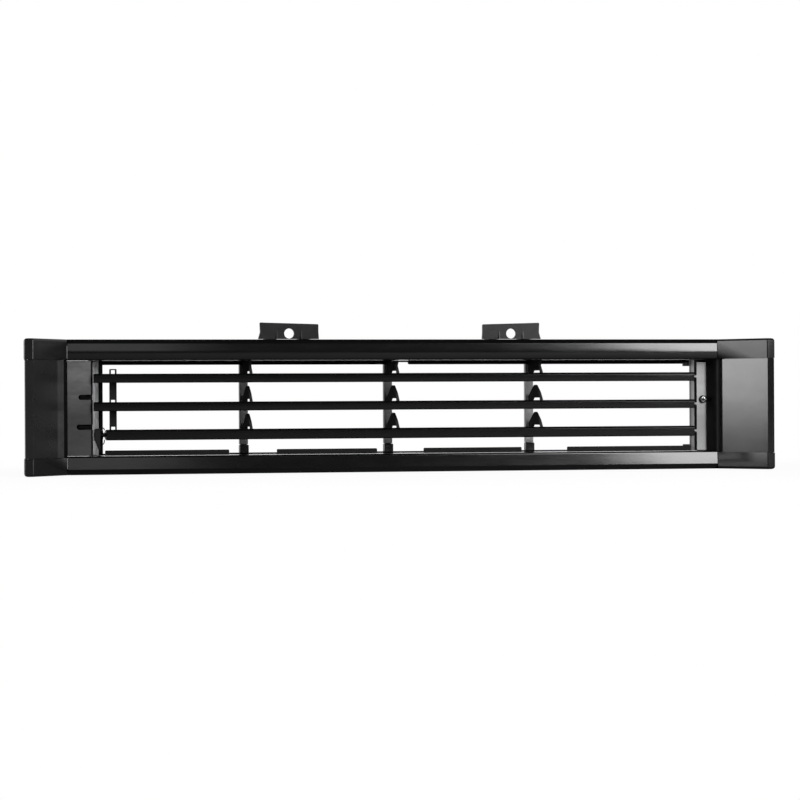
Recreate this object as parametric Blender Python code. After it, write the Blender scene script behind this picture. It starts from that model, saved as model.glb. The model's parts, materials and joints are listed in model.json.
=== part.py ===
"""Ventilation grille: a frame with splayed side wings and three linked tilting blades.

Units are metres, +X right, +Y from front to back, +Z up.  Every piece is drawn from the
front plane of the rails.  The empty named front_plane carries them all and puts the origin
at the centre of the base.
"""
import math

import bmesh
import bpy
from mathutils import Vector

# Overall sizes
FRAME_WIDTH = 0.600          # over the rims of the two wings
FRAME_HEIGHT = 0.1055
FRAME_DEPTH = 0.056          # front plane of the rails to their rear edge
WING_SPAN = 0.036            # width of each wing outside the rails' ends
WING_REACH = 0.0387          # how far the wings' rims stand in front of the rails

# Walls and clearances
WALL = 0.0020
FLANGE_WALL = 0.0016
JOINT_GAP = 0.0003           # between pieces that seat on each other
RUN_GAP = 0.00035            # around journals and pins that turn

# Rails
TOP_RAIL_HEIGHT = 0.0164
BASE_RAIL_HEIGHT = 0.0146
TOP_BAND = 0.0033            # sloped band along the outer edge
BASE_BAND = 0.0042
BAND_SETBACK = 0.0034
FACE_CROWN = 0.0006          # how far the middle of the top rail's face stands proud
FACE_CURVE = 0.030
BASE_FACE_LEAN = 0.0009      # the bottom rail's flat face leans back by this at its top
LIP_ROUND = 0.0018
REAR_LIP_HEIGHT = 0.0010
REAR_LIP_THICKNESS = 0.0014
RAIL_RIB_PITCH = 0.066
RAIL_RIB_END_GAP = 0.030     # least distance from the rails' ends to their last ribs
RIB_SETBACK = 0.010

# Wings
RIM_WIDTH = 0.0066
RIM_RETURN = 0.0080
RIM_SLANT = 0.0015           # the rims' outer edges lie this far behind their inner ones
RIM_STEP = 0.0006            # the corner caps' rims stand proud of the side panels'
CAP_STEP_TOP = 0.0004        # the corner caps are lower than the rails' faces by these
CAP_STEP_BASE = 0.0012
CAP_EDGE_ROUND = 0.0022
WING_THICKNESS = 0.0101
CAP_END_WIDTH = 0.0118
TONGUE_LENGTH = 0.014
TONGUE_MARGIN = 0.006
SHADOW_STEP_WIDTH = 0.0030
SHADOW_STEP_BACK = 0.0015
PANEL_RIB_THICKNESS = 0.0016
PANEL_RIB_SPREAD = 0.015     # ribs lie this far above and below the panel's middle
LIP_THICKNESS = 0.0012       # lips of the side panels that reach into the corner caps
LIP_HEIGHT = 0.0030
RIM_LAP_HEIGHT = 0.0008      # laps of the corner caps' rims over the side panels' returns
RIM_LAP_SETBACK = 0.0040
RIM_LAP_MARGIN = 0.0004

# Fixing tabs
TAB_SPACING = 0.1808
TAB_SHIFT = 0.0017           # the tabs' middle lies this far to the right of the frame's
TAB_WIDTH = 0.047
TAB_HEIGHT_OUTER = 0.0134
TAB_HEIGHT_INNER = 0.0121
TAB_THICKNESS = 0.0024
TAB_SETBACK = 0.0052
TAB_FOOT_DEPTH = 0.016
TAB_FOOT_THICKNESS = 0.0018
TAB_FOOT_INSET = 0.0055      # a tab's foot is narrower than its plate by this at each end
TAB_HOLE_RADIUS = 0.0040
TAB_HOLE_HEIGHT = 0.0047
TAB_FOOT_NOTCH = 0.0090      # half the width of the gap in a tab's foot behind its hole
TAB_GUSSET_OFFSET = 0.0098
TAB_GUSSET_HEIGHT = 0.0060
TAB_GUSSET_THICKNESS = 0.0010
TAB_FLARE = 0.0012
RIVET_OFFSET = 0.0140
RIVET_SHANK_RADIUS = 0.0015
RIVET_HEAD_RADIUS = 0.0030
RIVET_HEAD_HEIGHT = 0.0012

# Blades
BLADE_MARGIN = 0.0152        # mean distance of the outer blades' axes from the rails
BLADE_RAISE = 0.0012         # middle blade's axis above the middle of the opening
AXIS_SETBACK = 0.0080        # blade axes behind the front plane
BLADE_LEFT_GAP = 0.0004      # blades to cover plate
BLADE_RIGHT_GAP = 0.0005     # blades to right bearing wall
BLADE_NOSE = 0.0090          # axis to front face
BLADE_TAIL = 0.0150          # axis to rear edge
BLADE_TAIL_THICKNESS = 0.0018
BLADE_THICKNESS = 0.0072
LOWER_BLADE_THICKNESS = 0.0084
NOSE_DEPTH = 0.0045          # what stays of the nose where the blade is notched
NOSE_CHAMFER_HEIGHT = 0.0016
NOSE_CHAMFER_DEPTH = 0.0012
JOURNAL_RADIUS = 0.0016
JOURNAL_OVERLAP = 0.0006
NOTCH_CLEARANCE = 0.0019

# Mullions and their arms
MULLION_PITCH = 0.1185
MULLION_WIDTH = 0.0068
MULLION_SETBACK = 0.0070     # mullions' front faces in front of the rails' rear edge
MULLION_DEPTH = 0.0050
ARM_THICKNESS = 0.0022
ARM_EYE_WALL = 0.00155
ARM_PEAK_RISE = 0.706        # height of an arm's peak over its axis, as a share of the blades' pitch
ARM_UNDERSIDE_RISE = 0.253   # height of its underside, as a share of the pitch
ARM_PEAK_SHARE = 0.50        # places along an arm, as shares of the way from axis to mullion
ARM_SHOULDER_SHARE = 0.20
ARM_BEND_SHARE = 0.68
ARM_SHOULDER_HEIGHT = 0.66   # heights along an arm, as shares of its peak's
ARM_ROOT_HEIGHT = 0.40
ARM_PEAK_EXCESS = 1.09       # what the rounding takes off the peak is added first
ARM_ROOT_DROP = 0.0040       # an arm meets its mullion this far below its axis
ARM_NECK = 0.0012
EYE_MOUTH_ANGLE = math.radians(38)
HEAD_WEB_HEIGHT = 0.0042
FOOT_HEIGHT = 0.0070
FOOT_WIDTH = 0.0072
FOOT_STEP = 0.0025           # the feet's front faces in front of the mullions'
TENON_SHOULDER = 0.0009      # step between a mullion and the tenon in its foot
TENON_LENGTH = 0.0035

# End walls and cover plate
LEFT_WALL_THICKNESS = 0.0025
WALL_SETBACK = 0.0004        # the wall's front edge behind the blade axes, clear of the noses' swing
LEFT_WALL_REAR_GAP = 0.0090
LEFT_WALL_FLANGE = 0.0050    # width of the wall's rear edge that turns to the left
SNAP_LIP_THICKNESS = 0.0007  # curved lips beside the lower bearing
SNAP_LIP_DEPTH = 0.0012
SNAP_LIP_TIP = 0.0036        # height of their tips above and below the axis
SNAP_LIP_RISE_TOP = 0.0022
SNAP_LIP_RISE_BASE = 0.0040
SNAP_SHARE = 0.75            # mouth of a snap slot as a share of the round it holds
COVER_WIDTH = 0.0199
COVER_SETBACK = 0.0030
COVER_RETURN = 0.0090
COVER_SLOT_HALF = 0.0020
COVER_LEDGE = 0.0026         # ledge of the side panel behind the plate's left edge
UPPER_SLOT_RAISE = 0.0074    # above the middle blade's axis
LOWER_SLOT_RAISE = 0.0062    # above the lower blade's axis
UPPER_SLOT_LENGTH = 0.0113
LOWER_SLOT_LENGTH = 0.0129
SLOT_RETURN_CUT = 0.0030     # how far the slots run back into the plate's turned edge
BOSS_HALF_HEIGHT = 0.0042
BOSS_DEPTH = 0.0070
BOSS_WEB_SETBACK = 0.0030    # web of the screw's boss behind its front
PEG_RADIUS = 0.0014
TONGUE_HALF = 0.0011
RIGHT_WALL_THICKNESS = 0.0020
RIGHT_WALL_FRONT = 0.0010
RIGHT_STRIP_Y = 0.0126
RIGHT_STRIP_WIDTH = 0.0123
STRIP_SIDE_GAP = 0.0050      # screw strip to side panel
STRIP_TOP_GAP = 0.0022       # screw strip to top rail
STRIP_BASE_GAP = 0.0007
STRIP_EDGE_ROUND = 0.0030
STRIP_CURL = 0.0040          # depth of the strip's edge that curls back
STRIP_SHEET = 0.0014         # thickness of the screw strip
GROOVE_DEPTH = 0.0004
GROOVE_WIDTH = 0.0009
CLIP_LENGTH = 0.0085
CLIP_HOOK = 0.0034
CLIP_HEIGHT = 0.0026
CLIP_THICKNESS = 0.0020
CLIP_INSET = 0.0036          # clips from the wall's ends, the upper one clear of the blade's swing
SCREW_RAISE = 0.0036
SCREW_HEAD_RADIUS = 0.0032
SCREW_HEAD_HEIGHT = 0.0019
SCREW_SHANK_RADIUS = 0.0014
SCREW_LENGTH = 0.0090
RECESS_LENGTH = 0.0030
RECESS_WIDTH = 0.0008
RECESS_DEPTH = 0.0010

# Pins, lever and link bar
PIN_RADIUS = 0.0015
PIN_INSET = 0.0090
PIN_OUTREACH = 0.0040
LEVER_THICKNESS = 0.0045
LEVER_HUB_RADIUS = 0.0045
LEVER_SIDE_GAP = 0.0009      # lever to cover plate
THUMB_REACH = 0.0075         # front of the thumb tab before the blade's axis
THUMB_SINK = 0.0007          # how deep the thumb tab reaches into the hub
THUMB_TOP = 0.0050
THUMB_DROP = 0.0113
THUMB_HEEL = 0.0034
THUMB_TIP_SHARE = 0.3        # width of the thumb tab's tip as a share of the lever's thickness
LINK_INSET = 0.0088          # middle of the link bar from the left bearing wall
LINK_RADIUS = 0.0080         # blade axis to link pin
LINK_WIDTH = 0.0056
LINK_THICKNESS = 0.0024
LINK_RAIL = 0.0012
LINK_TOP = 0.0075
LINK_BOTTOM = 0.0038
LINK_WINDOW_TOP = {"lower": 0.0063, "middle": 0.0053, "upper": 0.0066}
LINK_PIN_RADIUS = 0.0008
HOOK_WALL = 0.00075
HOOK_MOUTH_ANGLE = math.radians(40)
LINK_ARM_THICKNESS = 0.0018
LINK_ARM_HALF = 0.0010

# Seal strips
STRIP_THICKNESS = 0.0016
LOWER_STRIP_HEIGHT = 0.0041
LOWER_STRIP_Y = 0.0016
STRIP_NOTCH_HALF = 0.0190
UPPER_STRIP_HEIGHT = 0.0026
UPPER_STRIP_STEP = 0.0022    # upper strips in front of the mullions
CENTRE_GAP = 0.0162

# Worked out from the sizes above
HALF_WIDTH = FRAME_WIDTH / 2
HALF_RAIL = HALF_WIDTH - WING_SPAN
CAP_HEIGHT_TOP = TOP_RAIL_HEIGHT - CAP_STEP_TOP
CAP_HEIGHT_BASE = BASE_RAIL_HEIGHT - CAP_STEP_BASE
OPENING_BASE = BASE_RAIL_HEIGHT
OPENING_TOP = FRAME_HEIGHT - TOP_RAIL_HEIGHT
BLADE_PITCH = (OPENING_TOP - OPENING_BASE) / 2 - BLADE_MARGIN
MIDDLE_Z = (OPENING_BASE + OPENING_TOP) / 2 + BLADE_RAISE
AXIS_Z = {
    "upper": MIDDLE_Z + BLADE_PITCH,
    "middle": MIDDLE_Z,
    "lower": MIDDLE_Z - BLADE_PITCH,
}
THICKNESS = {"upper": BLADE_THICKNESS, "middle": BLADE_THICKNESS, "lower": LOWER_BLADE_THICKNESS}
MULLION_X = {"left": -MULLION_PITCH, "centre": 0.0, "right": MULLION_PITCH}
MULLION_FRONT = FRAME_DEPTH - MULLION_SETBACK
TAB_X = {"left": TAB_SHIFT - TAB_SPACING / 2, "right": TAB_SHIFT + TAB_SPACING / 2}
ARM_PEAK = BLADE_PITCH * ARM_PEAK_RISE
ARM_UNDERSIDE = BLADE_PITCH * ARM_UNDERSIDE_RISE
COVER_RIGHT = COVER_WIDTH - HALF_RAIL
BLADE_LEFT = COVER_RIGHT + BLADE_LEFT_GAP
LEFT_WALL_X = COVER_RIGHT + LEVER_SIDE_GAP + LEVER_THICKNESS + JOINT_GAP
LEFT_WALL_RIGHT = LEFT_WALL_X + LEFT_WALL_THICKNESS
LINK_X = LEFT_WALL_RIGHT + LINK_INSET
LINK_Y = AXIS_SETBACK + LINK_RADIUS
STRIP_RIGHT = HALF_RAIL - STRIP_SIDE_GAP
STRIP_X = STRIP_RIGHT - RIGHT_STRIP_WIDTH
RIGHT_WALL_X = STRIP_X - RIGHT_WALL_THICKNESS
BLADE_RIGHT = RIGHT_WALL_X - BLADE_RIGHT_GAP
SCREW_X = STRIP_RIGHT - SCREW_HEAD_RADIUS - JOINT_GAP
UPPER_SLOT_Z = AXIS_Z["middle"] + UPPER_SLOT_RAISE
LOWER_SLOT_Z = AXIS_Z["lower"] + LOWER_SLOT_RAISE
SCREW_Z = AXIS_Z["middle"] + SCREW_RAISE
PANEL_BASE = CAP_HEIGHT_BASE + JOINT_GAP
PANEL_TOP = FRAME_HEIGHT - CAP_HEIGHT_TOP - JOINT_GAP
CAP_X = HALF_RAIL + JOINT_GAP
FACE_OUTER_X = HALF_WIDTH - RIM_WIDTH
ROUND_STEPS = 3


# Materials

def plastic(name, colour, roughness, metallic=0.0):
    """A plain finish for one kind of piece."""
    material = bpy.data.materials.new(name)
    material.use_nodes = True
    shader = material.node_tree.nodes["Principled BSDF"]
    shader.inputs["Base Color"].default_value = (*colour, 1.0)
    shader.inputs["Roughness"].default_value = roughness
    shader.inputs["Metallic"].default_value = metallic
    material.diffuse_color = (*colour, 1.0)
    return material


# Outlines

def rounded(corners, steps=ROUND_STEPS):
    """Closed outline from (a, b, radius) corners, each radius turned into an arc."""
    points = []
    count = len(corners)
    for index, (a, b, radius) in enumerate(corners):
        here = Vector((a, b))
        if radius <= 0.0:
            points.append(here)
            continue
        back = Vector(corners[index - 1][:2]) - here
        ahead = Vector(corners[(index + 1) % count][:2]) - here
        half = back.angle(ahead) / 2
        reach = min(radius / math.tan(half), 0.48 * back.length, 0.48 * ahead.length)
        arc_radius = reach * math.tan(half)
        middle = (back.normalized() + ahead.normalized()).normalized()
        centre = here + middle * (arc_radius / math.sin(half))
        start = here + back.normalized() * reach - centre
        end = here + ahead.normalized() * reach - centre
        sweep = math.atan2(start.x * end.y - start.y * end.x, start.dot(end))
        for step in range(steps + 1):
            turn = sweep * step / steps
            cos_turn = math.cos(turn)
            sin_turn = math.sin(turn)
            spoke_x = start.x * cos_turn - start.y * sin_turn
            spoke_y = start.x * sin_turn + start.y * cos_turn
            points.append(centre + Vector((spoke_x, spoke_y)))
    return points


def arc(centre, radius, start, end, steps):
    """Points along an arc, angles in radians."""
    points = []
    for step in range(steps + 1):
        angle = start + (end - start) * step / steps
        points.append(Vector((centre[0] + radius * math.cos(angle), centre[1] + radius * math.sin(angle))))
    return points


def circle(centre, radius, steps=20):
    """Closed round outline."""
    return arc(centre, radius, 0.0, math.tau * (steps - 1) / steps, steps - 1)


def rectangle(low, high):
    """Closed rectangular outline from two opposite corners."""
    return [Vector(low), Vector((high[0], low[1])), Vector(high), Vector((low[0], high[1]))]


def line_crossing(point_a, along_a, point_b, along_b):
    """Point where two lines meet."""
    cross = along_a.x * along_b.y - along_a.y * along_b.x
    if abs(cross) < 1e-12:
        return point_b.copy()
    gap = point_b - point_a
    return point_a + along_a * ((gap.x * along_b.y - gap.y * along_b.x) / cross)


def shifted_path(path, distance):
    """Open path moved sideways to its left by a distance, with sharp corners."""
    lines = []
    for start, end in zip(path, path[1:]):
        along = (end - start).normalized()
        normal = Vector((-along.y, along.x))
        lines.append((start + normal * distance, end + normal * distance, along))
    points = [lines[0][0]]
    for (_, _, along_a), (start_b, _, along_b), line_a in zip(lines, lines[1:], lines):
        points.append(line_crossing(line_a[0], along_a, start_b, along_b))
    points.append(lines[-1][1])
    return points


def ribbon(path, near, far):
    """Closed outline of a wall along an open path, between two distances to its left."""
    return shifted_path(path, near) + shifted_path(path, far)[::-1]


def trimmed(path, amount):
    """Open path shortened by the same amount at both ends."""
    start = path[0] + (path[1] - path[0]).normalized() * amount
    end = path[-1] + (path[-2] - path[-1]).normalized() * amount
    return [start] + path[1:-1] + [end]


def inset(outline, distance):
    """Closed outline, counterclockwise, moved inwards by a distance."""
    looped = [outline[-1]] + list(outline) + [outline[0]]
    return shifted_path(looped, distance)[1:-1]


def mirrored(outline, side):
    """Outline for the right side (side 1) or its mirror image (side -1)."""
    return [Vector((point.x * side, point.y)) for point in outline]


# Solids

def add_prism(mesh, outline, axis, low, high):
    """Add to a bmesh the prism that an outline sweeps along X, Y or Z."""
    place = {
        "X": lambda point, level: (level, point.x, point.y),
        "Y": lambda point, level: (point.x, level, point.y),
        "Z": lambda point, level: (point.x, point.y, level),
    }[axis]
    turn = sum(a.x * b.y - a.y * b.x for a, b in zip(outline, outline[1:] + outline[:1]))
    if (turn < 0.0) != (axis == "Y"):
        outline = outline[::-1]
    near = [mesh.verts.new(place(point, low)) for point in outline]
    far = [mesh.verts.new(place(point, high)) for point in outline]
    mesh.faces.new(near[::-1])
    mesh.faces.new(far)
    for index in range(len(outline)):
        after = (index + 1) % len(outline)
        mesh.faces.new((near[index], near[after], far[after], far[index]))


def loft(layers):
    """New bmesh through outlines with equal counts of points, each given with its height."""
    mesh = bmesh.new()
    rings = [[mesh.verts.new((point.x, point.y, z)) for point in outline] for outline, z in layers]
    mesh.faces.new(rings[0])
    mesh.faces.new(rings[-1][::-1])
    for below, above in zip(rings, rings[1:]):
        for index in range(len(below)):
            after = (index + 1) % len(below)
            mesh.faces.new((below[after], below[index], above[index], above[after]))
    if mesh.calc_volume(signed=True) < 0.0:
        bmesh.ops.reverse_faces(mesh, faces=mesh.faces)
    return mesh


def prism(outline, axis, low, high):
    """New bmesh holding one prism."""
    mesh = bmesh.new()
    add_prism(mesh, outline, axis, low, high)
    return mesh


def boxes(limits):
    """New bmesh holding separate boxes, each given as (x, y, z) pairs of limits."""
    mesh = bmesh.new()
    for (x_low, x_high), (y_low, y_high), (z_low, z_high) in limits:
        add_prism(mesh, rectangle((x_low, y_low), (x_high, y_high)), "Z", z_low, z_high)
    return mesh


def place_object(name, mesh, parent, location):
    """Turn a bmesh into an object under its parent."""
    data = bpy.data.meshes.new(name)
    mesh.to_mesh(data)
    mesh.free()
    item = bpy.data.objects.new(name, data)
    bpy.context.collection.objects.link(item)
    item.parent = parent
    item.location = location
    return item


def piece(name, mesh, material, location=(0.0, 0.0, 0.0)):
    """One sub-part of the grille, drawn about its own origin."""
    item = place_object(name, mesh, FRONT_PLANE, location)
    item.data.materials.append(material)
    item.data.shade_smooth()
    item.data.set_sharp_from_angle(angle=math.radians(32))
    return item


def shape_with(item, mesh, operation):
    """Cut a solid from a piece, or join one to it."""
    tool = place_object(item.name + "_tool", mesh, item.parent, item.location)
    tool.hide_render = True
    tool.display_type = "WIRE"
    step = item.modifiers.new(operation.title(), "BOOLEAN")
    step.operation = operation
    step.solver = "EXACT"
    step.object = tool


def soften(item, width, segments=1):
    """Break the sharp edges of a moulded piece."""
    edge = item.modifiers.new("Edges", "BEVEL")
    edge.width = width
    edge.segments = segments
    edge.limit_method = "ANGLE"
    edge.angle_limit = math.radians(50)


# Rails

def rail_section(height, band, crowned):
    """Rail section as (y, distance in from the outer edge)."""
    face = [(0.0, band, 0.0003), (BASE_FACE_LEAN, height, LIP_ROUND)]
    if crowned:
        middle = (band + height) / 2
        face = [(FACE_CROWN, band, 0.0003), (0.0, middle, FACE_CURVE), (FACE_CROWN, height, LIP_ROUND)]
    return rounded([
        (FRAME_DEPTH, 0.0, 0.0),
        (BAND_SETBACK, 0.0, 0.0008),
        *face,
        (FRAME_DEPTH - REAR_LIP_THICKNESS, height, 0.0),
        (FRAME_DEPTH - REAR_LIP_THICKNESS, height + REAR_LIP_HEIGHT, 0.0),
        (FRAME_DEPTH, height + REAR_LIP_HEIGHT, 0.0),
        (FRAME_DEPTH, height - FLANGE_WALL, 0.0),
        (FACE_CROWN + WALL, height - FLANGE_WALL, 0.0006),
        (FACE_CROWN + WALL, band, 0.0),
        (BAND_SETBACK + WALL * 0.6, WALL, 0.0006),
        (FRAME_DEPTH, WALL, 0.0),
    ])


def rail(name, height, band, from_top, material):
    """C-section rail with cross ribs, measured from the top or the base of the frame."""
    outline = rail_section(height, band, from_top)
    if from_top:
        outline = [Vector((point.x, FRAME_HEIGHT - point.y)) for point in outline]
    item = piece(name, prism(outline, "X", -HALF_RAIL, HALF_RAIL), material)
    rib_back = FRAME_DEPTH - RIB_SETBACK
    rib = [
        Vector((BAND_SETBACK + WALL, WALL / 2)),
        Vector((rib_back, WALL / 2)),
        Vector((rib_back, height - FLANGE_WALL / 2)),
        Vector((FACE_CROWN + WALL / 2, height - FLANGE_WALL / 2)),
        Vector((FACE_CROWN + WALL / 2, band)),
    ]
    if from_top:
        rib = [Vector((point.x, FRAME_HEIGHT - point.y)) for point in rib]
    ribs = bmesh.new()
    ribs_each_side = int((HALF_RAIL - RAIL_RIB_END_GAP) / RAIL_RIB_PITCH)
    for index in range(-ribs_each_side, ribs_each_side + 1):
        middle = index * RAIL_RIB_PITCH
        add_prism(ribs, rib, "X", middle - FLANGE_WALL / 2, middle + FLANGE_WALL / 2)
    shape_with(item, ribs, "UNION")
    return item


# Wings

def wing_corners(shrink):
    """Plan of a right corner cap as (x, y, radius), its front and outer faces moved in."""
    rim_back = RIM_RETURN - WING_REACH
    face = Vector((FACE_OUTER_X - CAP_X, -WING_REACH)).normalized()
    start = Vector((CAP_X, shrink / face.x))
    front_y = shrink - WING_REACH
    fold = line_crossing(start, face, Vector((0.0, front_y)), Vector((1.0, 0.0)))
    end_x = CAP_X + CAP_END_WIDTH
    back_y = rim_back - (HALF_WIDTH - end_x) * face.y / face.x
    return [
        (start.x, start.y, 0.0),
        (fold.x, fold.y, 0.0012),
        (HALF_WIDTH - shrink, front_y + RIM_SLANT, 0.0010),
        (HALF_WIDTH - shrink, rim_back, 0.0010),
        (end_x, back_y, 0.0020),
        (end_x, FRAME_DEPTH, 0.0),
        (CAP_X, FRAME_DEPTH, 0.0),
    ]


def corner_cap(name, side, upper, material):
    """Hollow moulding that closes one end of a rail and splays forward."""
    height = CAP_HEIGHT_TOP if upper else CAP_HEIGHT_BASE
    origin, way = (FRAME_HEIGHT, -1) if upper else (0.0, 1)
    layers = []
    for turn in (90.0, 60.0, 30.0, 0.0):
        angle = math.radians(turn)
        shrink = CAP_EDGE_ROUND * (1.0 - math.cos(angle))
        depth = CAP_EDGE_ROUND * (1.0 - math.sin(angle))
        layers.append((mirrored(rounded(wing_corners(shrink)), side), origin + way * depth))
    layers.append((layers[-1][0], origin + way * height))
    hollow = inset([Vector(corner[:2]) for corner in wing_corners(0.0)], WALL)
    hollow_low, hollow_high = sorted((origin + way * WALL, origin + way * (height + WALL)))
    mesh = loft(layers)
    item = piece(name, mesh, material)
    shape_with(item, prism(mirrored(hollow, side), "Z", hollow_low, hollow_high), "DIFFERENCE")
    tongue_far = HALF_RAIL - TONGUE_LENGTH
    tongue_near = CAP_X + WALL / 2
    tongue_x = sorted((side * tongue_far, side * tongue_near))
    tongue_y = (TONGUE_MARGIN, FRAME_DEPTH - TONGUE_MARGIN)
    if upper:
        tongue_high = FRAME_HEIGHT - WALL - JOINT_GAP
        tongue_z = (tongue_high - WALL, tongue_high)
    else:
        tongue_low = WALL + JOINT_GAP
        tongue_z = (tongue_low, tongue_low + WALL)
    lap_x = sorted((side * (HALF_WIDTH - WALL - RIM_LAP_MARGIN), side * (HALF_WIDTH - RIM_LAP_MARGIN)))
    lap_y = (RIM_LAP_SETBACK - WING_REACH, RIM_RETURN - WING_REACH - JOINT_GAP)
    lap_far = height + JOINT_GAP + RIM_LAP_HEIGHT
    lap_z = sorted((origin + way * (height - WALL / 2), origin + way * lap_far))
    shape_with(item, boxes([(tongue_x, tongue_y, tongue_z), (lap_x, lap_y, lap_z)]), "UNION")
    return item


def side_panel(name, side, material):
    """Folded panel between two corner caps: inner wall, shadow step, splayed face and rim."""
    step_x = CAP_X + SHADOW_STEP_WIDTH
    face = Vector((FACE_OUTER_X - CAP_X, -WING_REACH))
    start_y = face.y / face.x * SHADOW_STEP_WIDTH
    rim_x = HALF_WIDTH - RIM_STEP
    path = [
        Vector((CAP_X, FRAME_DEPTH)),
        Vector((CAP_X, SHADOW_STEP_BACK)),
        Vector((step_x, SHADOW_STEP_BACK)),
        Vector((step_x, start_y)),
        Vector((FACE_OUTER_X, -WING_REACH)),
        Vector((rim_x, RIM_SLANT - WING_REACH)),
        Vector((rim_x, RIM_RETURN - WING_REACH)),
    ]
    outline = mirrored(ribbon(path, 0.0, WALL), side)
    item = piece(name, prism(outline, "Z", PANEL_BASE, PANEL_TOP), material)
    rib_corners = [
        Vector((CAP_X + WALL / 2, WING_THICKNESS * 2)),
        Vector((CAP_X + WALL / 2, SHADOW_STEP_BACK + WALL / 2)),
        Vector((step_x + WALL / 2, SHADOW_STEP_BACK + WALL / 2)),
        Vector((step_x + WALL / 2, start_y + WALL / 2)),
        Vector((FACE_OUTER_X + WALL / 2, WALL / 2 - WING_REACH)),
        Vector((rim_x - WALL / 2, WALL / 2 + RIM_SLANT - WING_REACH)),
        Vector((rim_x - WALL / 2, RIM_RETURN - WING_REACH - WALL / 2)),
    ]
    middle = (PANEL_BASE + PANEL_TOP) / 2
    for offset in (-PANEL_RIB_SPREAD, PANEL_RIB_SPREAD):
        low = middle + offset - PANEL_RIB_THICKNESS / 2
        shape_with(item, prism(mirrored(rib_corners, side), "Z", low, low + PANEL_RIB_THICKNESS), "UNION")
    lip_path = path[3:6] + [Vector((rim_x, RIM_RETURN - WING_REACH - WALL))]
    lip_inset = WALL + JOINT_GAP
    lip = mirrored(ribbon(lip_path, lip_inset, lip_inset + LIP_THICKNESS), side)
    root_path = trimmed(lip_path, LIP_THICKNESS)
    root = mirrored(ribbon(root_path, WALL / 2, lip_inset + LIP_THICKNESS + JOINT_GAP), side)
    for edge, way in ((PANEL_BASE, -1), (PANEL_TOP, 1)):
        inner = edge - way * LIP_HEIGHT
        root_limits = sorted((inner, edge - way * JOINT_GAP))
        shape_with(item, prism(root, "Z", *root_limits), "UNION")
        lip_limits = sorted((inner + way * LIP_HEIGHT / 2, edge + way * LIP_HEIGHT))
        shape_with(item, prism(lip, "Z", *lip_limits), "UNION")
        notch_x = sorted((side * (rim_x - WALL - JOINT_GAP / 2), side * (rim_x + WALL)))
        notch_y = (RIM_LAP_SETBACK - WING_REACH - JOINT_GAP, RIM_RETURN - WING_REACH + WALL)
        notch_z = sorted((edge - way * (RIM_LAP_HEIGHT + JOINT_GAP), edge + way * WALL))
        shape_with(item, boxes([(notch_x, notch_y, notch_z)]), "DIFFERENCE")
    return item


def left_panel_seats(panel):
    """Ledge behind the cover plate, and the bosses with a peg and a tongue seen in its slots."""
    plate_back = COVER_SETBACK + WALL
    near = -(CAP_X + WALL / 2)
    far = COVER_RIGHT - FLANGE_WALL - JOINT_GAP
    boss_y = (plate_back + JOINT_GAP, plate_back + BOSS_DEPTH)
    ledge_y = (plate_back + JOINT_GAP * 2, plate_back + JOINT_GAP * 2 + FLANGE_WALL)
    ledge_z = (OPENING_BASE + JOINT_GAP, OPENING_TOP - JOINT_GAP)
    shape_with(panel, boxes([((near, COVER_LEDGE - CAP_X), ledge_y, ledge_z)]), "UNION")
    for slot_z in (UPPER_SLOT_Z, LOWER_SLOT_Z):
        boss_z = (slot_z - BOSS_HALF_HEIGHT, slot_z + BOSS_HALF_HEIGHT)
        shape_with(panel, boxes([((near, far), boss_y, boss_z)]), "UNION")
    peg_x = COVER_RIGHT - UPPER_SLOT_LENGTH + COVER_SLOT_HALF + PEG_RADIUS / 2
    inside = plate_back + BOSS_DEPTH / 2
    peg = prism(circle((peg_x, UPPER_SLOT_Z), PEG_RADIUS), "Y", COVER_SETBACK + JOINT_GAP, inside)
    shape_with(panel, peg, "UNION")
    tongue_x = (COVER_RIGHT - LOWER_SLOT_LENGTH + COVER_SLOT_HALF, far - WALL)
    tongue_z = (LOWER_SLOT_Z - TONGUE_HALF, LOWER_SLOT_Z + TONGUE_HALF)
    shape_with(panel, boxes([(tongue_x, (COVER_SETBACK + JOINT_GAP * 3, inside), tongue_z)]), "UNION")


def right_panel_boss(panel):
    """Boss behind the bracket that takes its screw, on a web out of sight behind the strip."""
    boss_front = RIGHT_STRIP_Y + STRIP_CURL + JOINT_GAP
    boss_half = STRIP_RIGHT - SCREW_X
    boss_back = boss_front + SCREW_LENGTH
    boss_x = (SCREW_X - boss_half, STRIP_RIGHT)
    boss_z = (SCREW_Z - boss_half, SCREW_Z + boss_half)
    shape_with(panel, boxes([(boss_x, (boss_front, boss_back), boss_z)]), "UNION")
    web_x = (STRIP_RIGHT - WALL / 2, CAP_X + WALL / 2)
    web_y = (boss_front + BOSS_WEB_SETBACK, boss_back - WALL / 2)
    web_z = (SCREW_Z - WALL / 2, SCREW_Z + WALL / 2)
    shape_with(panel, boxes([(web_x, web_y, web_z)]), "UNION")
    pilot = circle((SCREW_X, SCREW_Z), SCREW_SHANK_RADIUS + JOINT_GAP, 12)
    shape_with(panel, prism(pilot, "Y", boss_front - WALL, boss_front + SCREW_LENGTH + WALL), "DIFFERENCE")


# Fixing tabs

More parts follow.
